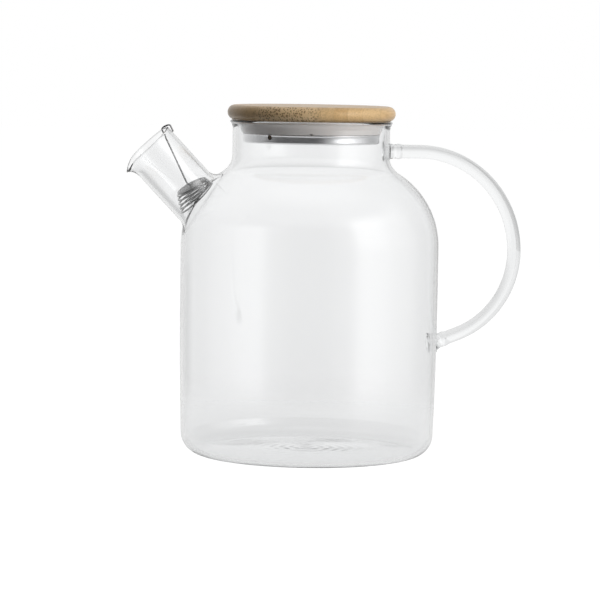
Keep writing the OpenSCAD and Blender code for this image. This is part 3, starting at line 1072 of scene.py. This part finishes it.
def wire_path(p, f):
    """Middle line of the filter's wire: conical coil, flat spiral, stem and hook."""
    steps = 40
    half = f.wire_d / 2
    wide = p.outer_r - p.wall - f.clearance - half
    spiral, hole = f.spiral_d / 2, 1.1 * f.wire_d
    seat = p.reach - f.depth
    path = []
    count = f.cone_turns * steps
    for i in range(count):
        t = i / count
        r, s = wide + t * (spiral - wide), seat + t * f.cone_l
        path.append(turn_place(p, r, TAU * i / steps, t * f.offset, s, t * f.lean, t * f.nod))
    count = f.spiral_turns * steps
    for i in range(count + 1):
        r = spiral + i / count * (hole - spiral)
        path.append(turn_place(p, r, TAU * i / steps, f.offset, seat + f.cone_l, f.lean, f.nod))
    # The stem and the hook's leg are parallel, and the hook's arch spans the rim between them
    foot_s, foot_up = seat + f.cone_l + 2 * f.wire_d, f.stem_foot
    hook_r = f.hook_w / 2
    arch_s, arch_up = p.reach - 0.3 * p.wall, p.outer_r - 0.65 * p.wall
    rise, run = arch_up - foot_up, arch_s - foot_s
    slant = math.atan2(rise, run) - math.asin(hook_r / math.hypot(rise, run))

    def hook_place(along, outward):
        s = arch_s + along * math.cos(slant) - outward * math.sin(slant)
        return spout_place(p, s, arch_up + along * math.sin(slant) + outward * math.cos(slant), 0.0)

    foot = spout_place(p, foot_s, foot_up, 0.0)
    top = hook_place(0.0, -hook_r)
    spiral_end = path[-1]
    bend_steps, stem_steps, hook_steps, leg_steps = 8, 9, 24, 4
    for i in range(1, bend_steps + 1):
        path.append(bent(spiral_end, foot, top, i / bend_steps))
    for i in range(1, stem_steps + 1):
        path.append(foot.lerp(top, BEND_SHARE + (1 - BEND_SHARE) * i / stem_steps))
    for i in range(1, hook_steps + 1):
        a = math.pi * (1 - i / hook_steps)
        path.append(hook_place(0.55 * hook_r * max(0.0, math.sin(a)) ** 0.7, hook_r * math.cos(a)))
    for i in range(1, leg_steps + 1):
        path.append(hook_place(-f.hook_l * i / leg_steps, hook_r))
    return path


class TEAPOT_OT_spout_filter(bpy.types.Operator):
    """Winds the wire filter in the spout"""

    bl_idname = "teapot.spout_filter"
    bl_label = "Spout filter"

    def execute(self, context):
        p, f = context.scene.teapot_spout, context.scene.teapot_filter
        points = wire_path(p, f)
        mesh = bpy.data.meshes.new("filter_wire")
        mesh.from_pydata(points, [(i, i + 1) for i in range(len(points) - 1)], [])
        material = steel_material("wire_steel", context.scene.teapot_finish.wire, 0.07, 0.1)
        wire = link(mesh, "filter_wire")
        run_tree(wire, wire_tree(), {"Wire Radius": f.wire_d / 2, "Sides": 14, "Material": material})
        finish(wire, "filter", "wire_steel", material, "spout_filter")
        return {"FINISHED"}


# ---------------------------------------------------------------- the stage

# Emission of the floor to the lens, and light that it gives back elsewhere
FLOOR_TO_LENS = 0.95
FLOOR_REFLECTANCE = 0.25
FLOOR_ELSEWHERE = 0.3
# Grey of the reflected room off the level, and of all that is seen after two reflections
OFF_LEVEL_GREY = 0.75
DEEP_GREY = 0.7
CAMERA_SENSOR = 36.0
# Lamps: name, place, width, height, watts. They face a point in the pot.
LAMP_TARGET = Vector((0.0, 0.0, 0.1))
LAMPS = (
    ("key_light", (1.07, -1.11, 0.5), 0.8, 1.5, 26.0),
    ("top_light", (-0.2, 0.2, 1.8), 1.2, 1.2, 3.6),
)


def floor_material():
    """Floor that shows white to the lens and keeps a soft shadow. Gloss and glass see it near the pot, where
    it glows dimmer towards the pot's axis as painted shade under the pot.
    """
    material, s, surface, output = new_material("pale_floor")
    path = s.add("ShaderNodeLightPath").outputs
    through = s.math("MAXIMUM", path["Is Glossy Ray"], path["Is Transmission Ray"])
    seen = s.math("MAXIMUM", path["Is Camera Ray"], through)
    plain = s.add("ShaderNodeBsdfDiffuse", {"Color": grey(FLOOR_ELSEWHERE)})
    lit = s.mix_shader(seen, plain, surface)
    # Twice the distance from the pot's axis, in metres
    away = s.times(s.length(s.coordinates("Object")), 2.0)
    # Painted shade: to gloss and glass the floor glows dimmer near the pot's axis, and a fixed grey after a
    # single reflection
    under = s.ramp(away, [(0.12, 0.58), (0.18, 0.66), (0.5, 0.72)])
    once = s.math("COMPARE", path["Glossy Depth"], 1.0)
    under = s.mix(once, under, grey(0.62))
    s.fill(surface, {
        "Base Color": grey(FLOOR_REFLECTANCE),
        "Roughness": 0.9,
        "Specular IOR Level": 0.0,
        "Emission Color": grey(1.0),
        "Emission Strength": s.mix(through, grey(FLOOR_TO_LENS), under),
    })
    far = s.ramp(away, [(0.18, 0.0), (0.8, 1.0)], "EASE")
    gap = s.add("ShaderNodeBsdfTransparent")
    s.fill(output, {"Surface": s.mix_shader(s.times(through, far), lit, gap).outputs[0]})
    return material


def studio_world(camera_turn):
    """White to the lens, near white straight through glass, and a room of greys to gloss and dull faces."""
    world = bpy.data.worlds.new("studio")
    world.use_nodes = True
    world.node_tree.nodes.clear()
    s = Shader(world.node_tree)
    path = s.add("ShaderNodeLightPath").outputs
    x, y, z = s.split(s.coordinates("Generated"))
    round_pot = s.math("DIVIDE", s.math("ARCTAN2", y, x), TAU)
    # 0 and 1 lie behind the pot, 0.25 on the spout's side, 0.5 towards the camera, 0.75 on the handle's side
    part = s.math("FRACT", s.plus(round_pot, 1.75 + camera_turn / TAU))
    # 0.5 lies level with the pot, 0 under it and 1 over it
    height = s.plus(s.times(z, 0.5), 0.5)
    # The room that reflections see: a dark card left of the camera, a softbox right of it, and grey walls
    walls = s.ramp(part, [
        (0.0, 0.95), (0.06, 0.92), (0.13, 0.72), (0.2, 0.52), (0.28, 0.3), (0.345, 0.1), (0.53, 0.08),
        (0.57, 0.25), (0.62, 0.4), (0.75, 0.4), (0.85, 0.5), (0.92, 0.75), (1.0, 0.95),
    ])
    off_level = s.ramp(height, [(0.12, 1.0), (0.2, 0.0), (0.9, 0.0), (0.985, 1.0)])
    room = s.mix(off_level, walls, grey(OFF_LEVEL_GREY))
    box = s.ramp(part, [
        (0.55, 0.0), (0.595, 0.16), (0.612, 0.4), (0.63, 0.9), (0.653, 1.0), (0.69, 0.82), (0.73, 0.45),
        (0.82, 0.0),
    ])
    box_span = s.ramp(height, [(0.3, 0.0), (0.36, 1.0), (0.74, 1.0), (0.86, 0.0)], "EASE")
    box_tone = s.ramp(height, [(0.43, 1.9), (0.46, 1.9), (0.53, 2.3), (0.65, 2.6)])
    room = s.mix(s.times(box, box_span), room, box_tone)
    # What lies behind the glass: a grey backdrop to the spout's side, and a greyer tone below the level
    backdrop = s.ramp(part, [(0.02, 0.0), (0.03, 1.0), (0.2, 1.0), (0.28, 0.0)])
    backdrop_low = s.ramp(height, [(0.462, 1.0), (0.465, 0.45)])
    beyond = s.mix(s.times(backdrop, backdrop_low), grey(1.0), grey(DEEP_GREY))
    low = s.ramp(height, [(0.3, 0.7), (0.42, 0.87), (0.455, 0.958), (0.475, 0.968), (0.49, 1.0)])
    beyond = s.mix(1.0, beyond, low, "MULTIPLY")
    bounced = s.math("GREATER_THAN", path["Glossy Depth"], 0.5)
    room = s.mix(s.math("GREATER_THAN", path["Glossy Depth"], 1.5), room, grey(DEEP_GREY))
    turned = s.plus(path["Glossy Depth"], path["Diffuse Depth"])
    straight = s.times(path["Is Transmission Ray"], s.math("LESS_THAN", turned, 0.5))
    # The soft fill that lights dull surfaces
    fill = s.ramp(part, [
        (0.0, 0.33), (0.17, 0.14), (0.3, 0.03), (0.5, 0.05), (0.62, 0.35), (0.8, 0.45), (1.0, 0.33),
    ])
    fill = s.mix(s.ramp(height, [(0.6, 0.0), (0.85, 1.0)]), fill, grey(0.2))
    level = s.mix(bounced, fill, room)
    level = s.mix(straight, level, beyond)
    level = s.mix(path["Is Camera Ray"], level, grey(1.0))
    studio = s.add("ShaderNodeBackground", {"Color": level, "Strength": 1.0})
    s.add("ShaderNodeOutputWorld", {"Surface": studio.outputs[0]})
    return world


def softbox(name, place, width, height, power):
    """A soft rectangular lamp that faces the pot."""
    light = bpy.data.lights.new(name, "AREA")
    light.shape, light.size, light.size_y, light.energy = "RECTANGLE", width, height, power
    lamp = bpy.data.objects.new(name, light)
    lamp.location = place
    lamp.rotation_euler = (LAMP_TARGET - Vector(place)).to_track_quat("-Z", "Y").to_euler()
    lamp.visible_camera = lamp.visible_glossy = lamp.visible_transmission = False
    bpy.context.scene.collection.objects.link(lamp)


class TEAPOT_OT_stage(bpy.types.Operator):
    """Sets up the camera, the pale floor and the soft studio light"""

    bl_idname = "teapot.stage"
    bl_label = "Stage"

    def execute(self, context):
        g = context.scene.teapot_stage
        camera = bpy.data.cameras.new("camera")
        camera.lens, camera.sensor_width = g.focal / MM, CAMERA_SENSOR
        camera.clip_end = 100.0
        eye = bpy.data.objects.new("camera", camera)
        eye.location = (
            -g.camera_distance * math.sin(g.camera_turn),
            -g.camera_distance * math.cos(g.camera_turn),
            g.camera_height,
        )
        eye.rotation_euler = (
            Matrix.Rotation(g.camera_aside - g.camera_turn, 3, "Z")
            @ Matrix.Rotation(math.pi / 2 - g.camera_pitch, 3, "X")
            @ Matrix.Rotation(g.camera_roll, 3, "Z")
        ).to_euler()
        context.scene.collection.objects.link(eye)
        context.scene.camera = eye
        half = g.floor_size / 2
        mesh = bpy.data.meshes.new("floor")
        corners = [(-half, -half, 0), (half, -half, 0), (half, half, 0), (-half, half, 0)]
        mesh.from_pydata(corners, [], [(0, 1, 2, 3)])
        floor = link(mesh, "floor")
        floor.data.materials.append(floor_material())
        context.scene.world = studio_world(g.camera_turn)
        for lamp in LAMPS:
            softbox(*lamp)
        context.scene.view_settings.view_transform = "Standard"
        return {"FINISHED"}


# ---------------------------------------------------------------- panel and registration

OPERATORS = (
    TEAPOT_OT_stage,
    TEAPOT_OT_pot_glass,
    TEAPOT_OT_lid_disc,
    TEAPOT_OT_lid_seal,
    TEAPOT_OT_lid_cup,
    TEAPOT_OT_cup_screws,
    TEAPOT_OT_spout_filter,
)


class TEAPOT_PT_panel(bpy.types.Panel):
    """Lists the teapot's settings and the steps that build it"""

    bl_idname = "TEAPOT_PT_panel"
    bl_label = "Glass teapot"
    bl_space_type = "VIEW_3D"
    bl_region_type = "UI"
    bl_category = "Teapot"

    def draw(self, context):
        for operator in OPERATORS:
            self.layout.operator(operator.bl_idname)
        for name, settings in SETTINGS.items():
            box = self.layout.box()
            box.label(text=settings.__doc__)
            for key in settings.__annotations__:
                box.prop(getattr(context.scene, name), key)


def register():
    for cls in (*SETTINGS.values(), *OPERATORS, TEAPOT_PT_panel):
        bpy.utils.register_class(cls)
    for name, cls in SETTINGS.items():
        setattr(bpy.types.Scene, name, PointerProperty(type=cls))


def unregister():
    for name in SETTINGS:
        delattr(bpy.types.Scene, name)
    for cls in (TEAPOT_PT_panel, *OPERATORS[::-1], *list(SETTINGS.values())[::-1]):
        bpy.utils.unregister_class(cls)


def main():
    register()
    for operator in OPERATORS:
        group, name = operator.bl_idname.split(".")
        getattr(getattr(bpy.ops, group), name)()


if __name__ == "__main__":
    main()
